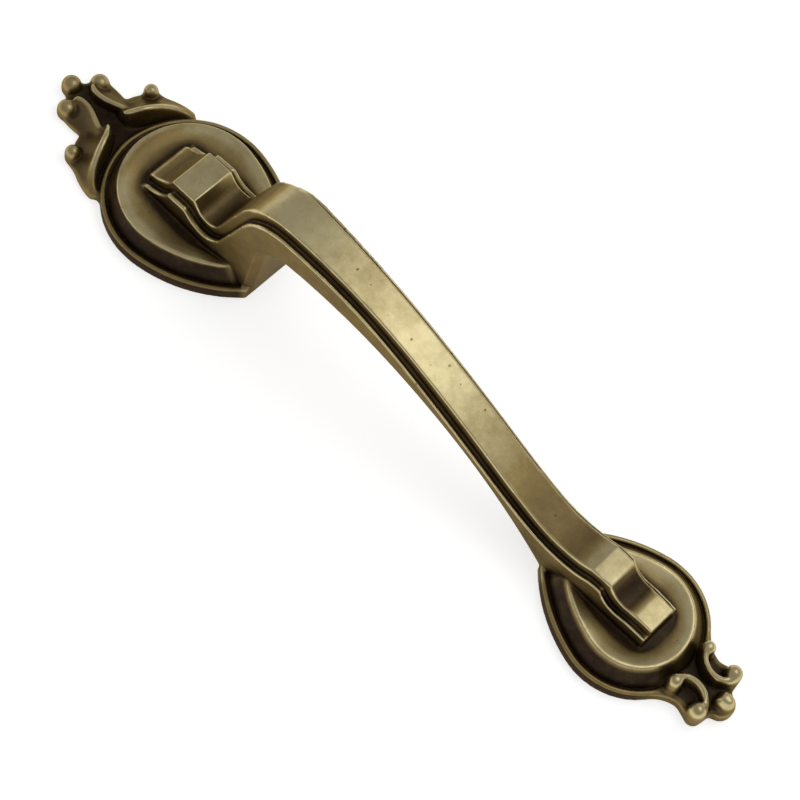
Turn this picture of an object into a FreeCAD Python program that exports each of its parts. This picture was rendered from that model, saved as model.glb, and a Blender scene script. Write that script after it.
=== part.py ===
import FreeCAD, Part
import math
import os
import Sketcher
from FreeCAD import Placement, Rotation, Vector

doc = FreeCAD.newDocument("bow_pull")

# Driving dimensions, in millimetres and degrees.
# X runs from the leaf finial to the scroll finial, Z away from the drawer front.
dimensions = {
    # Screw holes
    "hole_spacing": 96.0,
    "hole_radius": 1.65,
    "hole_depth": 7.0,
    "hole_chamfer": 0.5,
    "hole_overrun": 1.0,
    # Leaf-end rosette: centre, round end, sides, where the sides stop
    "leaf_plate_x": -48.5,
    "leaf_plate_radius": 14.4,
    "leaf_plate_side_radius": 26.0,
    "leaf_plate_blend": 8.0,
    "leaf_plate_stop_x": -30.2,
    # Scroll-end rosette
    "scroll_plate_x": 49.0,
    "scroll_plate_radius": 12.1,
    "scroll_plate_side_radius": 27.0,
    "scroll_plate_blend": 14.0,
    "scroll_plate_stop_x": 33.0,
    # Section through a rosette's edge: distance in from the edge, then height
    "wall_height": 1.75,
    "bead_in": 0.15,
    "bead_height": 2.5,
    "groove_in": 0.95,
    "groove_width": 0.2,
    "cove_in": 1.9,
    "cove_height": 3.35,
    "leaf_lip_in": 2.75,
    "scroll_lip_in": 3.3,
    "lip_height": 5.6,
    "lip_width": 0.15,
    "dish_run": 3.0,
    "dish_depth": 0.75,
    # Ridge of the bow seen from the side, from the leaf end to the scroll end
    "leaf_end_x": -54.2,
    "leaf_end_z": 6.3,
    "leaf_nose_x": -52.7,
    "leaf_nose_z": 7.5,
    "leaf_nose_radius": 2.0,
    "leaf_ramp_radius": 6.5,
    "leaf_land_outer_x": -48.9,
    "leaf_land_outer_z": 11.2,
    "leaf_land_inner_x": -44.0,
    "leaf_land_inner_z": 11.55,
    "leaf_valley_x": -42.9,
    "leaf_valley_z": 9.85,
    "leg_foot_z": 10.6,
    "leg_top_x": -34.8,
    "leg_top_z": 20.5,
    "crest_x": -25.4,
    "crest_z": 26.9,
    "bow_mid_x": 0.5,
    "bow_mid_z": 22.5,
    "bow_low_x": 19.5,
    "bow_low_z": 14.7,
    "sweep_x": 28.5,
    "sweep_z": 11.0,
    "scroll_valley_x": 38.2,
    "scroll_valley_z": 11.0,
    "scroll_land_inner_x": 40.3,
    "scroll_land_inner_z": 11.95,
    "scroll_land_outer_x": 44.0,
    "scroll_land_outer_z": 12.1,
    "scroll_ramp_radius": 4.0,
    "scroll_crease_x": 47.4,
    "scroll_crease_z": 9.5,
    "scroll_nose_radius": 14.0,
    "scroll_end_x": 52.8,
    "scroll_end_z": 9.6,
    # Underside of the bow
    "leg_inner_x": -30.2,
    "leg_inner_top_x": -28.8,
    "leg_inner_top_z": 13.2,
    "arch_x": -23.2,
    "arch_z": 18.6,
    "under_x": 8.0,
    "under_z": 14.4,
    "under_end_x": 33.2,
    "under_end_radius": 70.0,
    # Ridge half widths, the step out and down to the shoulder, the groove along the ridge's foot
    "half_leaf_end": 3.95,
    "half_leg": 4.1,
    "leg_width_x": -40.0,
    "half_middle": 2.8,
    "middle_x": 0.0,
    "half_scroll_valley": 3.0,
    "half_scroll_end": 2.6,
    "leaf_step": 1.55,
    "middle_step": 1.2,
    "scroll_step": 1.15,
    "ridge_rise": 1.75,
    "groove_span": 0.75,
    "groove_depth": 0.4,
    "under_chamfer": 1.2,
    # Leaf finial
    "leaf_web": 1.2,
    "leaf_tip_x": -76.4,
    "leaf_tip_ball": 1.7,
    "leaf_tip_ball_z": 1.75,
    "leaf_neck_half": 1.0,
    "curl_ball_x": -73.6,
    "curl_ball_y": 3.6,
    "curl_ball": 1.65,
    "curl_ball_z": 1.75,
    "side_ball_x": -66.8,
    "side_ball_y": 8.6,
    "side_ball_z": 2.4,
    "side_ball": 1.3,
    "leaf_notch_x": -68.9,
    "leaf_notch_y": 5.0,
    "leaf_notch_radius": 3.2,
    "leaf_curl_bend": 2.4,
    "leaf_join": 50.0,
    "wing_start": 5.0,
    "wing_step": 14.0,
    "wing_wall": 0.9,
    "wing_radius": 15.9,
    "wing_tip_radius": 17.5,
    "wing_tail_radius": 14.9,
    "wing_tip_crest": 4.5,
    "wing_crest": 5.5,
    "wing_crest_fall": 1.9,
    "wing_crest_width": 0.8,
    "wing_hollow": 7.0,
    "wing_tip_reach": 19.4,
    "wing_belly_reach": 21.0,
    "wing_flank_reach": 19.0,
    "wing_tail_reach": 15.9,
    "curl_crest": 3.8,
    "curl_crest_width": 0.7,
    "curl_hollow": 6.0,
    "curl_inner_y": 0.85,
    "curl_outer_y": 4.7,
    "curl_hook": 0.55,
    "curl_waist_x": -68.6,
    "curl_waist_y": 1.6,
    "curl_root_x": -65.8,
    "curl_root_y": 2.6,
    "curl_root_outer_y": 7.0,
    # Scroll finial
    "scroll_web": 2.4,
    "scroll_tip_x": 69.4,
    "scroll_neck_half": 2.3,
    "scroll_waist_x": 62.6,
    "scroll_waist_half": 4.8,
    "scroll_waist_radius": 6.0,
    "scroll_join": 36.0,
    "scroll_centre_x": 63.0,
    "scroll_centre_y": 4.6,
    "scroll_radius": 3.3,
    "scroll_band": 0.75,
    "scroll_band_foot": 1.7,
    "scroll_start": 194.0,
    "scroll_finish": 352.0,
    "scroll_crest_high": 6.4,
    "scroll_crest_low": 4.3,
    "inner_ball_x": 60.1,
    "inner_ball_y": 3.8,
    "inner_ball_z": 5.5,
    "inner_ball": 1.2,
    "outer_ball_x": 65.4,
    "outer_ball_y": 4.2,
    "outer_ball_z": 3.9,
    "outer_ball": 1.45,
    "knob_x": 66.0,
    "knob_end_x": 69.0,
    "knob_half": 1.3,
    "knob_shoulder": 4.3,
    "knob_height": 5.5,
    "knob_rounding": 0.65,
}

sheet = doc.addObject("Spreadsheet::Sheet", "sizes")
for row, (name, number) in enumerate(dimensions.items(), start=1):
    sheet.set("A%d" % row, name)
    sheet.set("B%d" % row, str(number))
    sheet.setAlias("B%d" % row, name)
doc.recompute()


class Size:
    """A number together with the sheet expression that gives it."""

    def __init__(self, value, text):
        self.value = value
        self.text = text

    def combine(self, sign, other, value):
        other_text = other.text if isinstance(other, Size) else repr(other)
        return Size(value, "(%s %s %s)" % (self.text, sign, other_text))

    def __add__(self, other):
        return self.combine("+", other, self.value + number_of(other))

    def __sub__(self, other):
        return self.combine("-", other, self.value - number_of(other))

    def __mul__(self, other):
        return self.combine("*", other, self.value * number_of(other))

    def __neg__(self):
        return self * -1


class Sizes:
    """The sheet's cells by name."""

    def __getattr__(self, name):
        return Size(dimensions[name], "sizes.%s" % name)


def number_of(size):
    return size.value if isinstance(size, Size) else size


def sine(angle):
    return Size(math.sin(math.radians(angle.value)), "sin(%s * 1 deg)" % angle.text)


def cosine(angle):
    return Size(math.cos(math.radians(angle.value)), "cos(%s * 1 deg)" % angle.text)


def bind(target, path, size):
    target.setExpression(path, size.text)


def new_body(name):
    return doc.addObject("PartDesign::Body", name)


def new_sketch(body, name, plane="XY_Plane"):
    sketch = body.newObject("Sketcher::SketchObject", name)
    feature = [f for f in body.Origin.OriginFeatures if f.Role == plane][0]
    sketch.AttachmentSupport = (feature, [""])
    sketch.MapMode = "FlatFace"
    return sketch


def raise_sketch(sketch, height):
    """Lift a sketch off its plane to a height from the sheet."""
    sketch.AttachmentOffset = Placement(Vector(0, 0, height.value), Rotation())
    bind(sketch, "AttachmentOffset.Base.z", height)


def fix(sketch, kind, *items):
    """Add a constraint whose last item is a size, and bind it."""
    size = items[-1]
    index = sketch.addConstraint(Sketcher.Constraint(kind, *items[:-1], size.value))
    bind(sketch, "Constraints[%d]" % index, size)


class Outline:
    """A closed outline drawn point by point, with every point bound to the sheet."""

    def __init__(self, sketch, x, y):
        self.sketch = sketch
        self.points = [(x, y)]
        self.pieces = []

    def line(self, x, y, smooth=False):
        self.points.append((x, y))
        self.pieces.append({"smooth": smooth})
        return self

    def arc(self, x, y, smooth=False, **how):
        self.points.append((x, y))
        self.pieces.append({"smooth": smooth, "arc": True, **how})
        return self

    def close(self, smooth=False):
        self.points.append(self.points[0])
        self.pieces.append({"smooth": smooth})
        self.draw()
        return self.sketch

    def place(self, index):
        x, y = self.points[index]
        return Vector(number_of(x), number_of(y), 0)

    def centre(self, piece, start, end, heading):
        """Centre of an arc from its radius, a level end or the direction at one end."""
        chord = end - start
        if "radius" in piece:
            half = chord * 0.5
            rise = math.sqrt(piece["radius"].value ** 2 - half.Length ** 2)
            across = Vector(-chord.y, chord.x, 0).normalize()
            return start + half + across * (rise * piece["turn"])
        if "level" in piece:
            level, other = (start, end) if piece["level"] == "start" else (end, start)
            gap = other - level
            return level + Vector(0, (gap.x ** 2 + gap.y ** 2) / (2 * gap.y), 0)
        if "leads" in piece:
            normal = Vector(-math.sin(piece["leads"]), math.cos(piece["leads"]), 0)
            back = start - end
            return end + normal * (back.Length ** 2 / (2 * back.dot(normal)))
        normal = Vector(-heading.y, heading.x, 0)
        return start + normal * (chord.Length ** 2 / (2 * chord.dot(normal)))

    def draw(self):
        sketch = self.sketch
        heading = None
        ends = []
        for index, piece in enumerate(self.pieces):
            start = self.place(index)
            end = self.place(index + 1)
            if "arc" not in piece:
                geometry = sketch.addGeometry(Part.LineSegment(start, end), False)
                ends.append((geometry, 1, 2))
                heading = (end - start).normalize()
                continue
            centre = self.centre(piece, start, end, heading)
            first, last = start - centre, end - centre
            left_turn = first.cross(last).z > 0
            circle = Part.Circle(centre, Vector(0, 0, 1), first.Length)
            angles = [math.atan2(v.y, v.x) for v in (first, last)]
            if left_turn:
                geometry = sketch.addGeometry(Part.ArcOfCircle(circle, *angles), False)
                ends.append((geometry, 1, 2))
                heading = Vector(-last.y, last.x, 0).normalize()
            else:
                geometry = sketch.addGeometry(Part.ArcOfCircle(circle, *angles[::-1]), False)
                ends.append((geometry, 2, 1))
                heading = Vector(last.y, -last.x, 0).normalize()
        for index, (piece, (geometry, first, last)) in enumerate(zip(self.pieces, ends)):
            before, _, before_last = ends[index - 1]
            joint = "Tangent" if piece["smooth"] else "Coincident"
            sketch.addConstraint(Sketcher.Constraint(joint, before, before_last, geometry, first))
            x, y = self.points[index]
            if isinstance(x, Size):
                fix(sketch, "DistanceX", -1, 1, geometry, first, x)
            if isinstance(y, Size):
                fix(sketch, "DistanceY", -1, 1, geometry, first, y)
            elif y == 0:
                sketch.addConstraint(Sketcher.Constraint("PointOnObject", geometry, first, -1))
            if "radius" in piece:
                fix(sketch, "Radius", geometry, piece["radius"])
            if "level" in piece:
                level = first if piece["level"] == "start" else last
                sketch.addConstraint(Sketcher.Constraint("Vertical", geometry, 3, geometry, level))


def pad(body, sketch, length, both_ways=False):
    feature = body.newObject("PartDesign::Pad", sketch.Name + "_pad")
    feature.Profile = sketch
    if both_ways:
        feature.SideType = "Symmetric"
    bind(feature, "Length", length)
    body.Tip = feature
    return feature


def loft(body, name, sketches, ruled=True, cut=False):
    kind = "PartDesign::SubtractiveLoft" if cut else "PartDesign::AdditiveLoft"
    feature = body.newObject(kind, name)
    feature.Profile = sketches[0]
    feature.Sections = sketches[1:]
    feature.Ruled = ruled
    body.Tip = feature
    return feature


def mirror(body, name, originals):
    """Repeat features of the +Y side on the -Y side."""
    feature = body.newObject("PartDesign::Mirrored", name)
    feature.Originals = originals
    plane = [f for f in body.Origin.OriginFeatures if f.Role == "XZ_Plane"][0]
    feature.MirrorPlane = (plane, [""])
    body.Tip = feature
    return feature


def common(name, first, second):
    feature = doc.addObject("Part::Common", name)
    feature.Base = first
    feature.Tool = second
    return feature


def cut(name, base, tool):
    feature = doc.addObject("Part::Cut", name)
    feature.Base = base
    feature.Tool = tool
    feature.Refine = False
    return feature


s = Sizes()
full_width = s.leaf_plate_radius * 2


def teardrop(body, name, end, inset, height):
    """Outline of a rosette, drawn in from its edge: round end, two sides, flat stop."""
    inward = 1 if end == "leaf" else -1
    centre_x = getattr(s, end + "_plate_x")
    radius = getattr(s, end + "_plate_radius") - inset
    side_radius = getattr(s, end + "_plate_side_radius") - inset
    blend = getattr(s, end + "_plate_blend")
    stop_x = getattr(s, end + "_plate_stop_x") - inset * inward
    blend_x = centre_x + radius * sine(blend) * inward
    blend_y = radius * cosine(blend)

    gap = side_radius.value - radius.value
    angle = math.radians(blend.value)
    side_x = centre_x.value - inward * gap * math.sin(angle)
    side_y = gap * math.cos(angle)
    stop_y = math.sqrt(side_radius.value ** 2 - (stop_x.value - side_x) ** 2) - side_y
    upper = Vector(blend_x.value, blend_y.value, 0)
    upper_stop = Vector(stop_x.value, stop_y, 0)

    sketch = new_sketch(body, name)
    raise_sketch(sketch, height)
    axis = Vector(0, 0, 1)

    def arc(centre, size, start, finish):
        """Arc from start to finish, anticlockwise, as the place of its two ends."""
        angles = [math.atan2(p.y - centre.y, p.x - centre.x) for p in (start, finish)]
        return sketch.addGeometry(Part.ArcOfCircle(Part.Circle(centre, axis, size), *angles), False)

    def below(point):
        return Vector(point.x, -point.y, 0)

    middle = Vector(centre_x.value, 0, 0)
    under = Vector(side_x, -side_y, 0)
    over = below(under)
    if inward == 1:
        outer = arc(middle, radius.value, upper, below(upper))
        top = arc(under, side_radius.value, upper_stop, upper)
        bottom = arc(over, side_radius.value, below(upper), below(upper_stop))
        blends = ((outer, 1, top, 2, top, 1), (outer, 2, bottom, 1, bottom, 2))
    else:
        outer = arc(middle, radius.value, below(upper), upper)
        top = arc(under, side_radius.value, upper, upper_stop)
        bottom = arc(over, side_radius.value, below(upper_stop), below(upper))
        blends = ((outer, 2, top, 1, top, 2), (outer, 1, bottom, 2, bottom, 1))
    stop = sketch.addGeometry(Part.LineSegment(upper_stop, below(upper_stop)), False)

    sketch.addConstraint(Sketcher.Constraint("PointOnObject", outer, 3, -1))
    fix(sketch, "DistanceX", -1, 1, outer, 3, centre_x)
    fix(sketch, "Radius", outer, radius)
    fix(sketch, "Radius", top, side_radius)
    sketch.addConstraint(Sketcher.Constraint("Equal", top, bottom))
    for stop_end, (round_arc, round_end, side, side_start, same, side_end) in enumerate(blends, 1):
        fix(sketch, "DistanceX", -1, 1, round_arc, round_end, blend_x)
        sketch.addConstraint(Sketcher.Constraint("Tangent", round_arc, round_end, side, side_start))
        sketch.addConstraint(Sketcher.Constraint("Coincident", same, side_end, stop, stop_end))
    sketch.addConstraint(Sketcher.Constraint("Vertical", stop))
    fix(sketch, "DistanceX", -1, 1, stop, 1, stop_x)
    return sketch


def rosette(end):
    """A rosette: upright wall, bead, groove, cove up to a crisp lip, shallow dish."""
    body = new_body(end + "_rosette")
    lip_in = getattr(s, end + "_lip_in")
    edge = s.wall_height * 0

    def ring(name, inset, height):
        return teardrop(body, "%s_%s" % (end, name), end, inset, height)

    pad(body, ring("wall", edge, edge), s.wall_height)
    wall_top = ring("wall_top", edge, s.wall_height)
    bead = ring("bead", s.bead_in, s.bead_height)
    loft(body, end + "_bead_rise", [wall_top, bead])
    bead_inner = ring("bead_inner", s.groove_in - s.bead_in * 0.5, s.bead_height)
    groove = ring("groove", s.groove_in, s.wall_height)
    loft(body, end + "_groove_cut", [bead_inner, groove], cut=True)
    cove_foot = ring("cove_foot", s.groove_in + s.groove_width, s.wall_height)
    cove = ring("cove", s.cove_in, s.cove_height)
    lip = ring("lip", lip_in, s.lip_height)
    loft(body, end + "_cove_rise", [cove_foot, cove, lip])
    dish_top = ring("dish_top", lip_in + s.lip_width, s.lip_height)
    dish_floor = ring("dish_floor", lip_in + s.dish_run, s.lip_height - s.dish_depth)
    loft(body, end + "_dish_cut", [dish_top, dish_floor], cut=True)
    return body


def side_outline(body, name, drop, lift, arched=True):
    """The bow from the side, with its top lowered by drop and its underside raised by lift."""
    sketch = new_sketch(body, name, "XZ_Plane")
    leg_slope = 2 * math.atan2(s.crest_z.value - s.leg_top_z.value, s.crest_x.value - s.leg_top_x.value)
    foot_z = s.leg_foot_z - drop * 0.3
    run = (s.leg_top_z - drop * 0.3 - foot_z).value / math.tan(leg_slope)
    foot_x = (s.leg_top_x + drop).value - run
    top = Outline(sketch, s.leaf_end_x, lift)
    top.line(s.leaf_end_x, s.leaf_end_z - drop)
    top.arc(s.leaf_nose_x, s.leaf_nose_z - drop, radius=s.leaf_nose_radius, turn=-1)
    top.arc(s.leaf_land_outer_x + drop * 0.3, s.leaf_land_outer_z - drop, radius=s.leaf_ramp_radius, turn=1)
    top.line(s.leaf_land_inner_x - drop * 0.4, s.leaf_land_inner_z - drop)
    top.line(s.leaf_valley_x - drop * 0.3, s.leaf_valley_z - drop * 0.7)
    top.arc(foot_x, foot_z, leads=leg_slope)
    top.line(s.leg_top_x + drop, s.leg_top_z - drop * 0.3, smooth=True)
    top.arc(s.crest_x, s.crest_z - drop, smooth=True, level="end")
    top.arc(s.bow_mid_x - drop * 0.3, s.bow_mid_z - drop, level="start")
    top.arc(s.bow_low_x - drop * 0.4, s.bow_low_z - drop, smooth=True)
    top.arc(s.sweep_x - drop * 0.3, s.sweep_z - drop, smooth=True)
    top.arc(s.scroll_valley_x + drop * 0.3, s.scroll_valley_z - drop, smooth=True)
    top.arc(s.scroll_land_inner_x + drop * 0.3, s.scroll_land_inner_z - drop, smooth=True)
    top.line(s.scroll_land_outer_x - drop * 0.4, s.scroll_land_outer_z - drop)
    top.arc(s.scroll_crease_x - drop * 0.3, s.scroll_crease_z - drop, radius=s.scroll_ramp_radius, turn=1)
    top.arc(s.scroll_end_x, s.scroll_end_z - drop, radius=s.scroll_nose_radius, turn=-1)
    top.line(s.scroll_end_x, lift)
    if arched:
        top.line(s.under_end_x + lift, lift)
        top.arc(s.under_x, s.under_z + lift, radius=s.under_end_radius, turn=1)
        top.arc(s.arch_x, s.arch_z + lift, smooth=True)
        top.arc(s.leg_inner_top_x - lift, s.leg_inner_top_z + lift, smooth=True)
        top.line(s.leg_inner_x - lift, lift)
    return top.close()


def plan_outline(body, name, leaf_step, middle_step, scroll_step):
    """The bow from above, wider than its ridge by a step: straight over the rosettes, waisted between."""
    leaf, leg = s.half_leaf_end + leaf_step, s.half_leg + leaf_step
    middle = s.half_middle + middle_step
    valley, scroll = s.half_scroll_valley + scroll_step, s.half_scroll_end + scroll_step
    plan = Outline(new_sketch(body, name), s.leaf_end_x, -leaf)
    plan.line(s.leg_width_x, -leg)
    plan.arc(s.middle_x, -middle, level="end")
    plan.arc(s.scroll_valley_x, -valley, level="start")
    plan.line(s.scroll_end_x, -scroll)
    plan.line(s.scroll_end_x, scroll)
    plan.line(s.scroll_valley_x, valley)
    plan.arc(s.middle_x, middle, level="end")
    plan.arc(s.leg_width_x, leg, level="start")
    plan.line(s.leaf_end_x, leaf)
    return plan.close()


def from_side(name, drop, lift, arched=True):
    body = new_body(name)
    pad(body, side_outline(body, name + "_outline", drop, lift, arched), full_width, both_ways=True)
    return body


def from_above(name, leaf_step, middle_step, scroll_step):
    body = new_body(name)
    outline = plan_outline(body, name + "_outline", leaf_step, middle_step, scroll_step)
    pad(body, outline, s.crest_z + s.ridge_rise)
    return body


def softened(bar):
    """Take off the corners between the bow's sides and its arched underside."""
    shape = bar.Shape
    corners = []
    for index, edge in enumerate(shape.Edges, start=1):
        middle = edge.valueAt(edge.getParameterByLength(edge.Length / 2))
        faces = shape.ancestorsOfType(edge, Part.Face)
        normals = [face.normalAt(*face.Surface.parameter(middle)) for face in faces]
        beside = any(abs(n.y) > 0.9 for n in normals)
        arched = any(abs(n.y) < 0.3 and (n.z < -0.05 or n.x > 0.9) for n in normals)
        inside = s.leg_inner_x.value - 1 < middle.x < s.under_end_x.value
        if beside and arched and inside and middle.z > 0.1:
            corners.append((index, s.under_chamfer.value, s.under_chamfer.value))
    chamfer = doc.addObject("Part::Chamfer", "softened_bow")
    chamfer.Base = bar
    chamfer.Edges = corners
    return chamfer


def bow():
    """The bow: a flat ridge, a groove along its foot, a shoulder outside the groove, a soft underside."""
    flat = s.ridge_rise * 0
    ridge = common("ridge", from_side("ridge_side", flat, s.ridge_rise),
                   from_above("ridge_plan", flat, flat, flat))
    shoulder = common("shoulder", from_side("shoulder_side", s.ridge_rise, flat),
                      from_above("shoulder_plan", s.leaf_step, s.middle_step, s.scroll_step))
    groove = cut("groove", from_above("groove_plan", s.groove_span, s.groove_span, s.groove_span),
                 from_side("groove_floor", s.ridge_rise + s.groove_depth, flat, arched=False))
    doc.recompute()
    return [ridge, cut("flanks", softened(shoulder), groove)]


def radial_sketch(body, name, turn):
    """A sketch on an upright plane through the leaf rosette's centre, turned from -X to +Y."""
    sketch = new_sketch(body, name, "XZ_Plane")
    centre = Vector(s.leaf_plate_x.value, 0, 0)
    sketch.AttachmentOffset = Placement(centre, Rotation(Vector(0, -1, 0), turn.value))
    bind(sketch, "AttachmentOffset.Base.x", s.leaf_plate_x)
    bind(sketch, "AttachmentOffset.Rotation.Angle", turn * Size(1, "1 deg"))
    return sketch


def wing_section(body, index, radius, crest, reach):
    """Section across a leaf wing: steep inside, ridge, hollow slope out to the web."""
    turn = s.wing_start + s.wing_step * index
    half = s.wing_crest_width * 0.5
    section = Outline(radial_sketch(body, "wing_section_%d" % index, turn), -radius + half + s.wing_wall, 0)
    section.line(-radius + half, crest)
    section.line(-radius - half, crest)
    section.arc(-reach, s.leaf_web, radius=s.wing_hollow, turn=-1)
    section.line(-reach, 0)
    return section.close()


def curl_section(body, index, x, inner, outer):
    """Section across a curled leaf beside the tip: ridge near the middle, hollow slope outwards."""
    sketch = new_sketch(body, "curl_section_%d" % index, "YZ_Plane")
    raise_sketch(sketch, x)
    section = Outline(sketch, inner, 0)
    section.line(inner, s.curl_crest)
    section.line(inner + s.curl_crest_width, s.curl_crest)
    section.arc(outer, s.leaf_web, radius=s.curl_hollow, turn=1)
    section.line(outer, 0)
    return section.close()


def domed_post(name, x, y, ball_z, radius):
    """A ball on a post of its own width, turned about an upright axis at x, y."""
    body = new_body(name)
    axis = radius * 0
    profile = Outline(new_sketch(body, name + "_profile", "XZ_Plane"), axis, 0)
    profile.line(radius, 0)
    profile.line(radius, ball_z)
    profile.arc(axis, ball_z + radius, level="end")
    turned = body.newObject("PartDesign::Revolution", name + "_turned")
    turned.Profile = profile.close()
    turned.ReferenceAxis = (turned.Profile[0], ["V_Axis"])
    turned.Angle = 360
    body.Tip = turned
    bind(body, "Placement.Base.x", x)
    bind(body, "Placement.Base.y", y)
    return body


def leaf_finial():
    """Leaf finial: a thin web, two wings round the rosette, two curls, five balls."""
    body = new_body("leaf_finial")
    centre_x, radius = s.leaf_plate_x, s.leaf_plate_radius
    join_x = centre_x - radius * cosine(s.leaf_join)
    join_y = radius * sine(s.leaf_join)
    curl_top = s.curl_ball_y + s.curl_ball * 0.8
    curl_radius = (s.leaf_notch_x - s.curl_ball_x) * s.leaf_curl_bend
    side_left = s.side_ball_x - s.side_ball
    side_top = s.side_ball_y + s.side_ball
    web = Outline(new_sketch(body, "leaf_web_outline"), join_x, join_y)
    web.line(s.side_ball_x, side_top)
    web.line(side_left, s.side_ball_y)
    web.arc(s.leaf_notch_x, s.leaf_notch_y, radius=s.leaf_notch_radius, turn=-1)
    web.arc(s.curl_ball_x, curl_top, radius=curl_radius, turn=1)
    web.line(s.leaf_tip_x, s.leaf_neck_half)
    web.line(s.leaf_tip_x, -s.leaf_neck_half)
    web.line(s.curl_ball_x, -curl_top)
    web.arc(s.leaf_notch_x, -s.leaf_notch_y, radius=curl_radius, turn=1)
    web.arc(side_left, -s.side_ball_y, radius=s.leaf_notch_radius, turn=-1)
    web.line(s.side_ball_x, -side_top)
    web.line(join_x, -join_y)
    pad(body, web.close(), s.leaf_web)
    wing = loft(body, "leaf_wing", [
        wing_section(body, 0, s.wing_tip_radius, s.wing_tip_crest, s.wing_tip_reach),
        wing_section(body, 1, s.wing_radius, s.wing_crest, s.wing_belly_reach),
        wing_section(body, 2, s.wing_radius, s.wing_crest - s.wing_crest_fall, s.wing_flank_reach),
        wing_section(body, 3, s.wing_tail_radius, s.wing_crest - s.wing_crest_fall * 2, s.wing_tail_reach),
    ], ruled=False)
    bend_x = (s.curl_ball_x + s.curl_waist_x) * 0.5
    curl = loft(body, "leaf_curl", [
        curl_section(body, 0, s.curl_ball_x, s.curl_inner_y + s.curl_hook, s.curl_ball_y),
        curl_section(body, 1, bend_x, s.curl_inner_y, s.curl_outer_y),
        curl_section(body, 2, s.curl_waist_x, s.curl_waist_y, s.leaf_notch_y),
        curl_section(body, 3, s.curl_root_x, s.curl_root_y, s.curl_root_outer_y),
    ], ruled=False)
    mirror(body, "leaf_mirror", [wing, curl])
    tip_y = s.leaf_web * 0
    pieces = [body, domed_post("tip_ball", s.leaf_tip_x, tip_y, s.leaf_tip_ball_z, s.leaf_tip_ball)]
    for side, sign in (("left", 1), ("right", -1)):
        curl_y, side_y = s.curl_ball_y * sign, s.side_ball_y * sign
        pieces.append(domed_post("curl_ball_" + side, s.curl_ball_x, curl_y, s.curl_ball_z, s.curl_ball))
        pieces.append(domed_post("side_ball_" + side, s.side_ball_x, side_y, s.side_ball_z, s.side_ball))
    return pieces


def scroll_band(body, name, width, height):
    """Outline of one C scroll at a height: a band of this width, bent round the scroll's centre."""
    sketch = new_sketch(body, name)
    raise_sketch(sketch, height)
    outer = s.scroll_radius + width * 0.5
    inner = s.scroll_radius - width * 0.5
    ends = [(cosine(angle), sine(angle)) for angle in (s.scroll_start, s.scroll_finish)]

    def at(radius, end):
        return s.scroll_centre_x + radius * end[0], s.scroll_centre_y + radius * end[1]

    band = Outline(sketch, *at(outer, ends[0]))
    band.arc(*at(outer, ends[1]), radius=outer, turn=1)
    band.line(*at(inner, ends[1]))
    band.arc(*at(inner, ends[0]), radius=inner, turn=-1)
    return band.close()


def knob_outline(body, name, inset, height):
    """Outline of the tip's knob at a height: square towards the scrolls, round at the tip."""
    sketch = new_sketch(body, name)
    raise_sketch(sketch, height)
    half = s.knob_half - inset
    round_x = s.knob_end_x - s.knob_half
    knob = Outline(sketch, s.knob_x + inset, -half)
    knob.line(round_x, -half)
    knob.arc(round_x + half, 0, radius=half, turn=1)
    knob.arc(round_x, half, radius=half, turn=1)
    knob.line(s.knob_x + inset, half)
    return knob.close()


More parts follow.
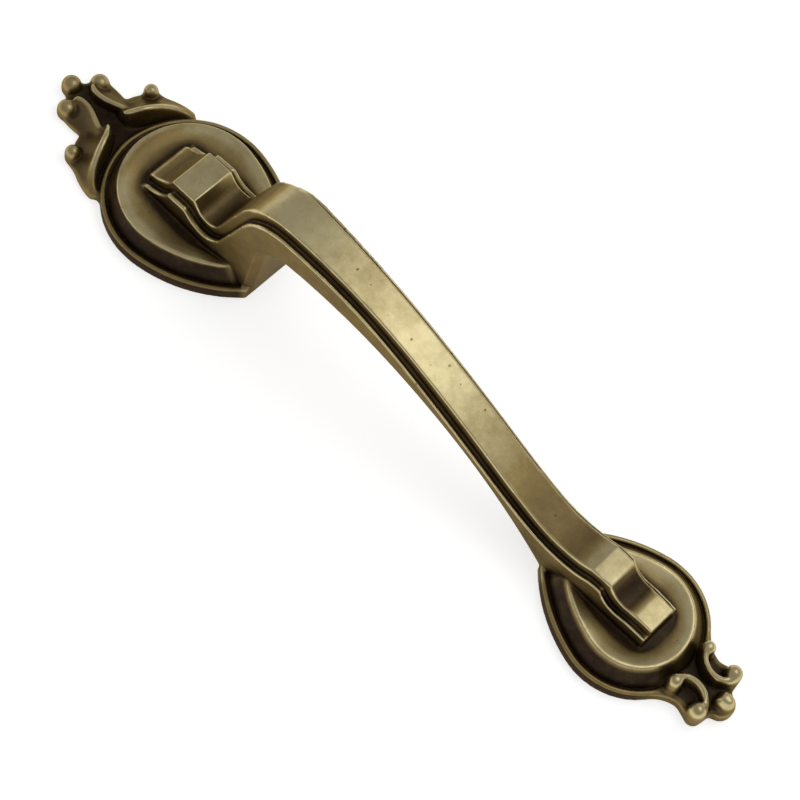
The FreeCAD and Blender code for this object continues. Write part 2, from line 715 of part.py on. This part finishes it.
def scroll_finial():
    """Scroll finial: a web, two C scrolls back to back with balled ends, a knob at the tip."""
    body = new_body("scroll_finial")
    centre_x, radius = s.scroll_plate_x, s.scroll_plate_radius
    join_x = centre_x + radius * cosine(s.scroll_join)
    join_y = radius * sine(s.scroll_join)
    ball_top = s.outer_ball_y + s.outer_ball
    ball_right = s.outer_ball_x + s.outer_ball
    neck_x = s.scroll_tip_x - s.scroll_neck_half
    web = Outline(new_sketch(body, "scroll_web_outline"), join_x, -join_y)
    web.arc(s.scroll_waist_x, -s.scroll_waist_half, radius=s.scroll_waist_radius, turn=-1)
    web.line(s.outer_ball_x, -ball_top)
    web.line(ball_right, -s.outer_ball_y)
    web.line(neck_x, -s.scroll_neck_half)
    web.arc(s.scroll_tip_x, 0, radius=s.scroll_neck_half, turn=1)
    web.arc(neck_x, s.scroll_neck_half, radius=s.scroll_neck_half, turn=1)
    web.line(ball_right, s.outer_ball_y)
    web.line(s.outer_ball_x, ball_top)
    web.line(s.scroll_waist_x, s.scroll_waist_half)
    web.arc(join_x, join_y, radius=s.scroll_waist_radius, turn=-1)
    pad(body, web.close(), s.scroll_web)

    slope_body = new_body("scroll_slope")
    slope = Outline(new_sketch(slope_body, "scroll_slope_profile", "XZ_Plane"), centre_x, 0)
    slope.line(centre_x, s.scroll_crest_high)
    slope.line(s.inner_ball_x, s.scroll_crest_high)
    slope.line(ball_right, s.scroll_crest_low)
    slope.line(ball_right, 0)
    pad(slope_body, slope.close(), full_width, both_ways=True)

    bands_body = new_body("scroll_bands")
    foot = scroll_band(bands_body, "scroll_band_foot", s.scroll_band_foot, s.scroll_band * 0)
    crest = scroll_band(bands_body, "scroll_band_crest", s.scroll_band, s.scroll_crest_high)
    one_band = loft(bands_body, "scroll_band", [foot, crest])
    bands_body.AllowCompound = True
    mirror(bands_body, "scroll_band_mirror", [one_band])

    knob_body = new_body("scroll_knob")
    level = s.knob_rounding * 0
    pad(knob_body, knob_outline(knob_body, "knob_foot", level, level), s.knob_shoulder)
    loft(knob_body, "knob_top", [knob_outline(knob_body, "knob_shoulder", level, s.knob_shoulder),
                                 knob_outline(knob_body, "knob_crown", s.knob_rounding, s.knob_height)])

    pieces = [body, common("scroll_ridges", bands_body, slope_body), knob_body]
    for side, sign in (("left", 1), ("right", -1)):
        inner_y, outer_y = s.inner_ball_y * sign, s.outer_ball_y * sign
        pieces.append(domed_post("inner_ball_" + side, s.inner_ball_x, inner_y,
                                 s.inner_ball_z, s.inner_ball))
        pieces.append(domed_post("outer_ball_" + side, s.outer_ball_x, outer_y,
                                 s.outer_ball_z, s.outer_ball))
    return pieces


def screw_hole(name, x):
    """Cutter for one blind screw hole with a chamfered mouth, standing out of the flat back."""
    bore = doc.addObject("Part::Cylinder", name + "_bore")
    bind(bore, "Radius", s.hole_radius)
    bind(bore, "Height", s.hole_depth + s.hole_overrun)
    mouth = doc.addObject("Part::Cone", name + "_mouth")
    bind(mouth, "Radius1", s.hole_radius + s.hole_chamfer + s.hole_overrun)
    bind(mouth, "Radius2", s.hole_radius)
    bind(mouth, "Height", s.hole_chamfer + s.hole_overrun)
    for piece in (bore, mouth):
        bind(piece, "Placement.Base.x", x)
        bind(piece, "Placement.Base.z", -s.hole_overrun)
    cutter = doc.addObject("Part::Fuse", name)
    cutter.Base = bore
    cutter.Tool = mouth
    return cutter


casting = doc.addObject("Part::MultiFuse", "casting")
casting.Shapes = [rosette("leaf"), rosette("scroll")] + bow() + leaf_finial() + scroll_finial()
casting.Refine = False

half_spacing = s.hole_spacing * 0.5
drilled = cut("drilled_casting", casting, screw_hole("leaf_screw_hole", -half_spacing))
pull = cut("bow_pull", drilled, screw_hole("scroll_screw_hole", half_spacing))
pull.Label = "bow_pull"
pull.Placement = Placement()
doc.recompute()

for item in doc.Objects:
    if "Invalid" in item.State or "Error" in item.State:
        raise RuntimeError("%s failed: %s" % (item.Name, item.getStatusString()))
if pull.Shape.isNull() or not pull.Shape.isValid() or len(pull.Shape.Solids) != 1:
    raise RuntimeError("the casting isn't one valid solid")

os.makedirs("parts", exist_ok=True)
pull.Shape.exportStep(os.path.join("parts", pull.Label + ".step"))
print("bow_pull: %.0f cubic millimetres" % pull.Shape.Volume)
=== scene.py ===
import math

import bpy
from mathutils import Matrix, Vector


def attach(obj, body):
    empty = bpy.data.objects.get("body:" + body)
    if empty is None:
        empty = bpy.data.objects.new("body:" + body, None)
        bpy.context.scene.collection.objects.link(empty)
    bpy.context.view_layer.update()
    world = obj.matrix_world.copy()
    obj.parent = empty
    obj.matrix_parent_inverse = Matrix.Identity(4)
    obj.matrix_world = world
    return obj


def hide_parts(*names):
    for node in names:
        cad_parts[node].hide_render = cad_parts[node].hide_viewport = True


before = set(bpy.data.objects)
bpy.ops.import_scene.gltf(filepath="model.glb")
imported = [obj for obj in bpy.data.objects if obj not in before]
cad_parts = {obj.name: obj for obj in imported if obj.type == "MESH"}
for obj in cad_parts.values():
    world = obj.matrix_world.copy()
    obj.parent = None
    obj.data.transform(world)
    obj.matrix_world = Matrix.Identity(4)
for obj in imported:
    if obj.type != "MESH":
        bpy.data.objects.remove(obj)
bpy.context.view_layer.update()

mm = 0.001
scene = bpy.context.scene
print("frame loaded")


def linearColour(hexText):
    channels = [int(hexText[i:i + 2], 16) / 255 for i in (1, 3, 5)]
    return [c / 12.92 if c <= 0.04045 else ((c + 0.055) / 1.055) ** 2.4 for c in channels] + [1.0]


# adds one node: values and links by socket, everything else as the node's own settings;
# a node given for a socket stands for its first output
def addNode(tree, kind, sockets=None, **settings):
    node = tree.nodes.new(kind)
    for name, value in settings.items():
        setattr(node, name, value)
    for name, value in (sockets or {}).items():
        if isinstance(value, bpy.types.Node):
            value = value.outputs[0]
        if isinstance(value, bpy.types.NodeSocket):
            tree.links.new(value, node.inputs[name])
        else:
            node.inputs[name].default_value = value
    return node


# The casting: the CAD solid with its edges rounded off as sand casting and tumbling leave them
casting = {
    "mergeGap": 0.001 * mm,
    "flatAngle": math.radians(8),       # triangles this flat to each other, and about this square, make quads
    "quadAngle": math.radians(70),
    "sharpAngle": math.radians(24),     # edges sharper than this stay edges
    "roundLevels": 2,
    "voxel": 0.16 * mm,
    "softenSteps": 12,
    "softenShare": 0.5,
    "leafMm": (-56.0, -59.0),           # in x, from where each finial begins to where it is all carving
    "scrollMm": (57.0, 60.0),
    "finialSteps": 14,                  # the carving came softer out of the mould
    "fineSteps": 14,                    # about 0.5 mm, for worn edges and thin grooves
    "middleSteps": 90,                  # about 1.3 mm, for the hollows of the carving
    "broadSteps": 500,                  # about 3 mm, for the dishes and the foot of the bow
    "triangles": 190000,
}

bpy.ops.object.select_all(action="DESELECT")
pull = bpy.data.objects.new("brassCasting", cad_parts["bow_pull"].data.copy())
scene.collection.objects.link(pull)
pull.select_set(True)
bpy.context.view_layer.objects.active = pull
bpy.ops.object.mode_set(mode="EDIT")
bpy.ops.mesh.select_all(action="SELECT")
bpy.ops.mesh.remove_doubles(threshold=casting["mergeGap"])
bpy.ops.mesh.tris_convert_to_quads(face_threshold=casting["flatAngle"], shape_threshold=casting["quadAngle"])
bpy.ops.mesh.select_mode(type="EDGE")
bpy.ops.mesh.select_all(action="DESELECT")
bpy.ops.mesh.edges_select_sharp(sharpness=casting["sharpAngle"])
bpy.ops.transform.edge_crease(value=1.0)
bpy.ops.object.mode_set(mode="OBJECT")

rounded = pull.modifiers.new("rounded", "SUBSURF")      # turns the solid's flat facets into true curves
rounded.levels = rounded.render_levels = casting["roundLevels"]
bpy.ops.object.modifier_apply(modifier="rounded")
print("facets rounded:", len(pull.data.polygons), "faces")
remesh = pull.modifiers.new("skin", "REMESH")
remesh.mode = "VOXEL"
remesh.voxel_size = casting["voxel"]
bpy.ops.object.modifier_apply(modifier="skin")
soften = pull.modifiers.new("soften", "SMOOTH")
soften.factor = casting["softenShare"]
soften.iterations = casting["softenSteps"]
bpy.ops.object.modifier_apply(modifier="soften")
print("casting skinned:", len(pull.data.vertices), "points")

# softens the finials, then keeps how far each point lies below or above its blurred surroundings,
# in mm: hollows are positive
reliefTree = bpy.data.node_groups.new("relief", "GeometryNodeTree")
for side in ("INPUT", "OUTPUT"):
    reliefTree.interface.new_socket("Geometry", in_out=side, socket_type="NodeSocketGeometry")
shape = addNode(reliefTree, "NodeGroupInput")
place = addNode(reliefTree, "GeometryNodeInputPosition").outputs[0]
normal = addNode(reliefTree, "GeometryNodeInputNormal").outputs[0]
along = addNode(reliefTree, "ShaderNodeSeparateXYZ", {0: place}).outputs["X"]
leaf, scroll = [addNode(reliefTree, "ShaderNodeMapRange",
                        {"Value": along, "From Min": start * mm, "From Max": full * mm})
                for start, full in (casting["leafMm"], casting["scrollMm"])]
kept = {
    "upward": addNode(reliefTree, "ShaderNodeSeparateXYZ", {0: normal}).outputs["Z"],
    "finial": addNode(reliefTree, "ShaderNodeMath", {0: leaf, 1: scroll}, operation="ADD").outputs[0],
}
for name in ("finial", "fine", "middle", "broad"):
    blurred = addNode(reliefTree, "GeometryNodeBlurAttribute", {"Iterations": casting[name + "Steps"]},
                      data_type="FLOAT_VECTOR")
    reliefTree.links.new(place, [i for i in blurred.inputs if i.enabled and i.name == "Value"][0])
    around = [o for o in blurred.outputs if o.enabled][0]
    if name == "finial":
        moved = addNode(reliefTree, "ShaderNodeMix", {"Factor": kept["finial"], 4: place, 5: around},
                        data_type="VECTOR")
        shape = addNode(reliefTree, "GeometryNodeSetPosition",
                        {"Geometry": shape, "Position": moved.outputs[1]})
        continue
    below = addNode(reliefTree, "ShaderNodeVectorMath", {0: around, 1: place}, operation="SUBTRACT")
    depth = addNode(reliefTree, "ShaderNodeVectorMath", {0: below, 1: normal}, operation="DOT_PRODUCT")
    kept[name] = addNode(reliefTree, "ShaderNodeMath", {0: depth.outputs["Value"], 1: 1 / mm},
                         operation="MULTIPLY").outputs[0]
for name, field in kept.items():
    shape = addNode(reliefTree, "GeometryNodeStoreNamedAttribute", {"Geometry": shape, "Name": name},
                    data_type="FLOAT", domain="POINT")
    reliefTree.links.new(field, [i for i in shape.inputs if i.enabled and i.name == "Value"][0])
addNode(reliefTree, "NodeGroupOutput", {0: shape})
relief = pull.modifiers.new("relief", "NODES")
relief.node_group = reliefTree
bpy.ops.object.modifier_apply(modifier="relief")

thin = pull.modifiers.new("thin", "DECIMATE")
thin.ratio = casting["triangles"] / (2 * len(pull.data.polygons))       # each quad counts as two
bpy.ops.object.modifier_apply(modifier="thin")
bpy.ops.object.shade_smooth()
pull.data.materials.clear()
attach(pull, "root")
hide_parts("bow_pull")
print("casting finished:", len(pull.data.polygons), "faces")

# Antique brass: cast, dipped in brown oxide, tumbled and brushed back, then lacquered.
# Polish runs from 0 for thick oxide to 1 for bare metal. Hands and the brush polish the top of the
# bow and its two flat lands, edges and balls; the oxide stays in the hollows, the coves and the walls.
# The polish also holds painted light: painted reflection along the top of the bow, painted shade on
# the walls that grows darker towards their foot, and far coves painted lighter as if lit from behind.
finish = {
    "tones": [(0.0, "#33251a"), (0.3, "#7d6a45"), (0.58, "#a08b59"), (1.0, "#d8ca9b")],     # by polish
    "roughness": (0.6, 0.3),            # of oxide and of bare metal
    "edgeTint": "#c9bea6",
    "coatWeight": 0.1,
    "coatRoughness": 0.2,
    # along the top of the bow: x in mm, and the polish there, which is wear together with painted reflection
    "topPolishAndPaintedLight": [(-58, 0.5), (-53, 0.4), (-51.5, 0.2), (-50.2, 0.25), (-49.2, 0.9), (-43.6, 0.9),
                  (-42.6, 0.3), (-40, 0.12), (-36, 0.08), (-33, 0.3), (-31, 0.85), (-28, 1.0),
                  (-22, 0.95), (-14, 0.8), (-6, 0.84), (0, 0.97), (8, 0.94), (14, 0.82), (20, 0.68),
                  (27, 0.38), (37, 0.34), (39.2, 0.85), (43.6, 0.9), (44.6, 0.06), (48.2, 0.08),
                  (49.8, 0.85), (56, 0.85)],
    "topMm": (6.0, 8.0),                # the dishes end and the top of the bow begins between these heights
    "topTilt": (0.2, 0.85),             # upward part of the normal on a wall and on a top
    "dishPolish": (0.86, 0.54),         # at the lip and in the middle
    "dishMm": (-0.3, 0.25),             # broad relief at the lip and in the middle
    "wallPolishAndPaintedShade": (0.22, 0.34),         # at the foot and at the top of the bow: oxide, and painted shade darker towards the foot
    "wallMm": (5.0, 20.0),
    "finialPolish": 0.34,
    "coveMm": (3.9, 5.0),               # thick oxide below the first height, none above the second,
    "coveSlopeMm": 1.6,                 # and higher up where a wall is steep
    "coveTilt": 0.9,                    # upward part of the normal where those heights hold
    "coveOxide": 0.97,
    "legMm": ((-38.0, -35.0), (38.0, 34.0), (6.3, 5.3)),        # the legs of the bow, in x, x and y
    "paintedLightFarMm": (2.0, 9.0),                # the far side, in y, where the coves are painted lighter as if lit from behind: painted light
    "coveCleanedAndPaintedLight": {"finial": 0.6, "leg": 0.85, "paintedLightFar": 0.45},   # share of a cove's oxide that is gone there; on the far side it is painted light
    "hollows": {"fine": (0.015, 0.08, 0.75), "middle": (0.06, 0.2, 0.85),
                "broad": (0.18, 0.46, 0.92)},   # mm where oxide starts, mm where it is thickest, how thick
    "edges": {"fine": (-0.025, -0.1), "middle": (-0.18, -0.45)},        # mm where wear starts and is full
    "carving": (-0.06, -0.22, 0.95),    # the same for the finials by middle relief, and how much
    "brushMm": (1.5, 4.0),              # the brush hardly reaches below these heights
    "brushReach": (0.3, 0.95),
    "brushTilt": (-0.2, 0.3),           # nor what faces down
    "wornPolish": 0.95,
    "cloudMm": 4.0,
    "cloudDetail": 7.0,
    "cloudRoughness": 0.78,
    "cloudSpan": (0.25, 0.75),          # of the noise, for
    "blotch": 0.2,                      # so much more or less polish,
    "blotchShare": (0.3, 0.9),          # of which oxide and bare metal show this much
    "grainMm": 2.5,
    "grainDetail": 4.0,
    "grainDepthMm": 0.045,
    "pitMm": 1.6,                       # spacing; most pits are far smaller than
    "pitRadius": 0.2,                   # this share of it
    "pitRarity": 3.0,
    "pitPolish": 0.45,
    "pitDepthMm": 0.08,
}
brass = bpy.data.materials.new("antiqueBrass")
brass.use_nodes = True
tree = brass.node_tree
tree.nodes.clear()
place = addNode(tree, "ShaderNodeTexCoord").outputs["Object"]
axes = addNode(tree, "ShaderNodeSeparateXYZ", {0: place}).outputs
marks = {name: addNode(tree, "ShaderNodeAttribute", attribute_name=name).outputs["Fac"] for name in kept}

# polish that brush and hands give: along the top of the bow, in the dishes and on the walls,
# with painted reflection along the top of the bow and painted shade on the walls
first, last = finish["topPolishAndPaintedLight"][0][0], finish["topPolishAndPaintedLight"][-1][0]
along = addNode(tree, "ShaderNodeMapRange",
                {"Value": axes["X"], "From Min": first * mm, "From Max": last * mm})
# the ramp along the top of the bow paints reflection into the polish, as well as wear
topPolishAndPaintedLightRamp = addNode(tree, "ShaderNodeValToRGB", {"Fac": along})
toneRamp = addNode(tree, "ShaderNodeValToRGB")
topPolishAndPaintedLightStops = [((x - first) / (last - first), [level, level, level, 1.0]) for x, level in finish["topPolishAndPaintedLight"]]
toneStops = [(level, linearColour(tone)) for level, tone in finish["tones"]]
for ramp, stops in ((topPolishAndPaintedLightRamp.color_ramp, topPolishAndPaintedLightStops), (toneRamp.color_ramp, toneStops)):
    ramp.elements.remove(ramp.elements[-1])
    for number, (position, shade) in enumerate(stops):
        stop = ramp.elements[0] if number == 0 else ramp.elements.new(position)
        stop.position, stop.color = position, shade
raised = addNode(tree, "ShaderNodeMapRange",
                 {"Value": axes["Z"], "From Min": finish["topMm"][0] * mm,
                  "From Max": finish["topMm"][1] * mm})
topside = addNode(tree, "ShaderNodeMapRange",
                  {"Value": marks["upward"], "From Min": finish["topTilt"][0],
                   "From Max": finish["topTilt"][1]}, interpolation_type="SMOOTHSTEP")
dish = addNode(tree, "ShaderNodeMapRange",
               {"Value": marks["broad"], "From Min": finish["dishMm"][0], "From Max": finish["dishMm"][1],
                "To Min": finish["dishPolish"][0], "To Max": finish["dishPolish"][1]})
# the walls: oxide, with painted shade that grows darker towards the foot
wallOxideAndPaintedShade = addNode(tree, "ShaderNodeMapRange",
               {"Value": axes["Z"], "From Min": finish["wallMm"][0] * mm,
                "From Max": finish["wallMm"][1] * mm, "To Min": finish["wallPolishAndPaintedShade"][0],
                "To Max": finish["wallPolishAndPaintedShade"][1]})
top = addNode(tree, "ShaderNodeMix", {"Factor": raised, 2: dish, 3: topPolishAndPaintedLightRamp}, data_type="FLOAT")
brushedAndPaintedLight = addNode(tree, "ShaderNodeMix", {"Factor": topside, 2: wallOxideAndPaintedShade, 3: top}, data_type="FLOAT")
brushedAndPaintedLight = addNode(tree, "ShaderNodeMix", {"Factor": marks["finial"], 2: brushedAndPaintedLight, 3: finish["finialPolish"]},
                  data_type="FLOAT")

# oxide left in the coves and in hollows of three sizes, less in the coves of the finials and legs,
# and painted light that lifts it off the far coves as if lit from behind
steep = addNode(tree, "ShaderNodeMath", {0: marks["upward"], 1: finish["coveSlopeMm"] * mm, 2: axes["Z"]},
                operation="MULTIPLY_ADD")
low, high = [(height + finish["coveTilt"] * finish["coveSlopeMm"]) * mm for height in finish["coveMm"]]
cove = addNode(tree, "ShaderNodeMapRange",
               {"Value": steep, "From Min": low, "From Max": high, "To Min": finish["coveOxide"],
                "To Max": 0.0}, interpolation_type="SMOOTHSTEP")
across = addNode(tree, "ShaderNodeMath", {0: axes["Y"]}, operation="ABSOLUTE").outputs[0]
leg = finish["coveCleanedAndPaintedLight"]["leg"]
for axis, (outer, inner) in zip((axes["X"], axes["X"], across), finish["legMm"]):
    within = addNode(tree, "ShaderNodeMapRange",
                     {"Value": axis, "From Min": outer * mm, "From Max": inner * mm},
                     interpolation_type="SMOOTHSTEP")
    leg = addNode(tree, "ShaderNodeMath", {0: leg, 1: within}, operation="MULTIPLY")
# painted light: the far coves are painted lighter, as if lit from behind
paintedLightFar = addNode(tree, "ShaderNodeMapRange",
              {"Value": axes["Y"], "From Min": finish["paintedLightFarMm"][0] * mm, "From Max": finish["paintedLightFarMm"][1] * mm,
               "To Max": finish["coveCleanedAndPaintedLight"]["paintedLightFar"]})
cleanedAndPaintedLight = addNode(tree, "ShaderNodeMath", {0: marks["finial"], 1: finish["coveCleanedAndPaintedLight"]["finial"], 2: leg},
                  operation="MULTIPLY_ADD")
cleanedAndPaintedLight = addNode(tree, "ShaderNodeMath", {0: cleanedAndPaintedLight, 1: paintedLightFar}, operation="ADD")
hollowOxideAndPaintedLight = addNode(tree, "ShaderNodeMix", {"Factor": cleanedAndPaintedLight, 2: cove, 3: 0.0}, data_type="FLOAT")
for name, (start, full, thickness) in finish["hollows"].items():
    filled = addNode(tree, "ShaderNodeMapRange",
                     {"Value": marks[name], "From Min": start, "From Max": full, "To Max": thickness})
    hollowOxideAndPaintedLight = addNode(tree, "ShaderNodeMath", {0: hollowOxideAndPaintedLight, 1: filled}, operation="MAXIMUM")
dulled = addNode(tree, "ShaderNodeMix", {"Factor": hollowOxideAndPaintedLight, 2: brushedAndPaintedLight, 3: 0.0}, data_type="FLOAT")

# edges and balls worn bright, less so low down where the brush hardly reaches
start, full, share = finish["carving"]
wear = addNode(tree, "ShaderNodeMapRange",
               {"Value": marks["middle"], "From Min": start, "From Max": full, "To Max": share})
wear = addNode(tree, "ShaderNodeMath", {0: wear, 1: marks["finial"]}, operation="MULTIPLY")
for name, (start, full) in finish["edges"].items():
    rubbed = addNode(tree, "ShaderNodeMapRange", {"Value": marks[name], "From Min": start, "From Max": full})
    wear = addNode(tree, "ShaderNodeMath", {0: wear, 1: rubbed}, operation="MAXIMUM")
reach = addNode(tree, "ShaderNodeMapRange",
                {"Value": axes["Z"], "From Min": finish["brushMm"][0] * mm,
                 "From Max": finish["brushMm"][1] * mm, "To Min": finish["brushReach"][0],
                 "To Max": finish["brushReach"][1]})
facing = addNode(tree, "ShaderNodeMapRange",
                 {"Value": marks["upward"], "From Min": finish["brushTilt"][0],
                  "From Max": finish["brushTilt"][1]})
for limit in (reach, facing):
    wear = addNode(tree, "ShaderNodeMath", {0: wear, 1: limit}, operation="MULTIPLY")
worn = addNode(tree, "ShaderNodeMix", {"Factor": wear, 2: dulled, 3: finish["wornPolish"]}, data_type="FLOAT")

# the dip takes unevenly
cloud = addNode(tree, "ShaderNodeTexNoise",
                {"Vector": place, "Scale": 1 / (finish["cloudMm"] * mm), "Detail": finish["cloudDetail"],
                 "Roughness": finish["cloudRoughness"]}).outputs["Fac"]
blotch = addNode(tree, "ShaderNodeMapRange",
                 {"Value": cloud, "From Min": finish["cloudSpan"][0], "From Max": finish["cloudSpan"][1],
                  "To Min": -finish["blotch"], "To Max": finish["blotch"]})
amount = addNode(tree, "ShaderNodeMapRange",
                 {"Value": worn, "To Min": finish["blotchShare"][0], "To Max": finish["blotchShare"][1]})
polish = addNode(tree, "ShaderNodeMath", {0: blotch, 1: amount, 2: worn}, operation="MULTIPLY_ADD",
                 use_clamp=True)

# sand grain left by the mould, and pits of many sizes that hold oxide
grain = addNode(tree, "ShaderNodeTexNoise", {"Vector": place, "Scale": 1 / (finish["grainMm"] * mm),
                                            "Detail": finish["grainDetail"]}).outputs["Fac"]
pits = addNode(tree, "ShaderNodeTexVoronoi", {"Vector": place, "Scale": 1 / (finish["pitMm"] * mm)})
chance = addNode(tree, "ShaderNodeSeparateColor", {0: pits.outputs["Color"]})
chance = addNode(tree, "ShaderNodeMath", {0: chance, 1: finish["pitRarity"]}, operation="POWER")
radius = addNode(tree, "ShaderNodeMath", {0: chance, 1: finish["pitRadius"]}, operation="MULTIPLY")
clear = addNode(tree, "ShaderNodeMapRange",
                {"Value": pits.outputs["Distance"], "From Max": radius, "To Min": finish["pitPolish"]},
                interpolation_type="SMOOTHSTEP")
polish = addNode(tree, "ShaderNodeMath", {0: polish, 1: clear}, operation="MULTIPLY")
tree.links.new(polish.outputs[0], toneRamp.inputs["Fac"])
roughness = addNode(tree, "ShaderNodeMapRange", {"Value": polish, "To Min": finish["roughness"][0],
                                                "To Max": finish["roughness"][1]})

grainBump = addNode(tree, "ShaderNodeBump", {"Height": grain, "Distance": finish["grainDepthMm"] * mm})
pitBump = addNode(tree, "ShaderNodeBump", {"Height": clear, "Distance": finish["pitDepthMm"] * mm,
                                          "Normal": grainBump})
shader = addNode(tree, "ShaderNodeBsdfPrincipled",
                 {"Base Color": toneRamp, "Metallic": 1.0, "Roughness": roughness, "Normal": pitBump,
                  "Specular Tint": linearColour(finish["edgeTint"]), "Coat Weight": finish["coatWeight"],
                  "Coat Roughness": finish["coatRoughness"]})
addNode(tree, "ShaderNodeOutputMaterial", {"Surface": shader})
pull.data.materials.append(brass)
print("brass finished")

# The floor: white card under the pull, with a low wall of the same card far around it
floorCard = {
    "width": 6.0,
    "wallRadius": 2.8,
    "wallHeight": 0.6,
    "wallSides": 128,
    "colour": "#f4f4f2",
    "lift": 0.65,           # brings the card to white, and leaves the shadow on it
}
bpy.ops.object.select_all(action="DESELECT")
bpy.ops.mesh.primitive_plane_add(size=floorCard["width"], location=(0, 0, 0))
floor = bpy.context.active_object
floor.name = "whiteCard"
bpy.ops.mesh.primitive_cylinder_add(vertices=floorCard["wallSides"], radius=floorCard["wallRadius"],
                                    depth=floorCard["wallHeight"], end_fill_type="NOTHING",
                                    location=(0, 0, floorCard["wallHeight"] / 2))
farWall = bpy.context.active_object
farWall.name = "whiteCardWall"
card = bpy.data.materials.new("whiteCard")
card.use_nodes = True
tree = card.node_tree
tree.nodes.clear()
paper = addNode(tree, "ShaderNodeBsdfDiffuse", {"Color": linearColour(floorCard["colour"])})
ray = addNode(tree, "ShaderNodeLightPath").outputs
seen = ray["Is Camera Ray"]
for kind in ("Is Glossy Ray", "Is Transmission Ray"):
    seen = addNode(tree, "ShaderNodeMath", {0: seen, 1: ray[kind]}, operation="MAXIMUM")
lift = addNode(tree, "ShaderNodeMath", {0: seen, 1: floorCard["lift"]}, operation="MULTIPLY")
glow = addNode(tree, "ShaderNodeEmission", {"Strength": lift})
both = addNode(tree, "ShaderNodeAddShader", {0: paper, 1: glow})
addNode(tree, "ShaderNodeOutputMaterial", {"Surface": both})
for piece in (floor, farWall):
    piece.data.materials.append(card)
print("floor laid")

# Studio light: a soft box above and behind the low end, and an even pale room
studio = {
    "roomColour": "#ffffff",
    "roomLevel": 0.37,
    "boxPlace": Vector((90, 120, 300)) * mm,
    "boxAim": Vector((10, 0, 10)) * mm,
    "boxSize": (250 * mm, 200 * mm),
    "boxWatts": 0.165,
}
room = bpy.data.worlds.new("paleRoom")
room.use_nodes = True
backdrop = room.node_tree.nodes["Background"].inputs
backdrop["Color"].default_value = linearColour(studio["roomColour"])
backdrop["Strength"].default_value = studio["roomLevel"]
scene.world = room
box = bpy.data.lights.new("softBox", "AREA")
box.shape = "RECTANGLE"
box.size, box.size_y = studio["boxSize"]
box.energy = studio["boxWatts"]
softBox = bpy.data.objects.new("softBox", box)
softBox.location = studio["boxPlace"]
softBox.rotation_euler = (studio["boxAim"] - studio["boxPlace"]).to_track_quat("-Z", "Y").to_euler()
softBox.visible_camera = False
scene.collection.objects.link(softBox)
print("light set")

# The camera: from above the low end, rolled so that the pull runs from corner to corner
photo = {
    "aim": Vector((-1.205, 0.500, 0)) * mm,
    "distance": 384.06 * mm,
    "azimuth": math.radians(-60.947),
    "elevation": math.radians(64.671),
    "roll": math.radians(17.017),
    "lens": 110.25,
    "sensor": 36,
    "nearest": 10 * mm,
}
away = Vector((math.cos(photo["elevation"]) * math.cos(photo["azimuth"]),
               math.cos(photo["elevation"]) * math.sin(photo["azimuth"]),
               math.sin(photo["elevation"])))
lens = bpy.data.cameras.new("photoCamera")
lens.lens = photo["lens"]
lens.sensor_width = photo["sensor"]
lens.clip_start = photo["nearest"]
camera = bpy.data.objects.new("photoCamera", lens)
turn = away.to_track_quat("Z", "Y").to_matrix() @ Matrix.Rotation(photo["roll"], 3, "Z")
camera.matrix_world = Matrix.Translation(photo["aim"] + away * photo["distance"]) @ turn.to_4x4()
scene.collection.objects.link(camera)
scene.camera = camera
scene.view_settings.view_transform = "Standard"
print("camera set")
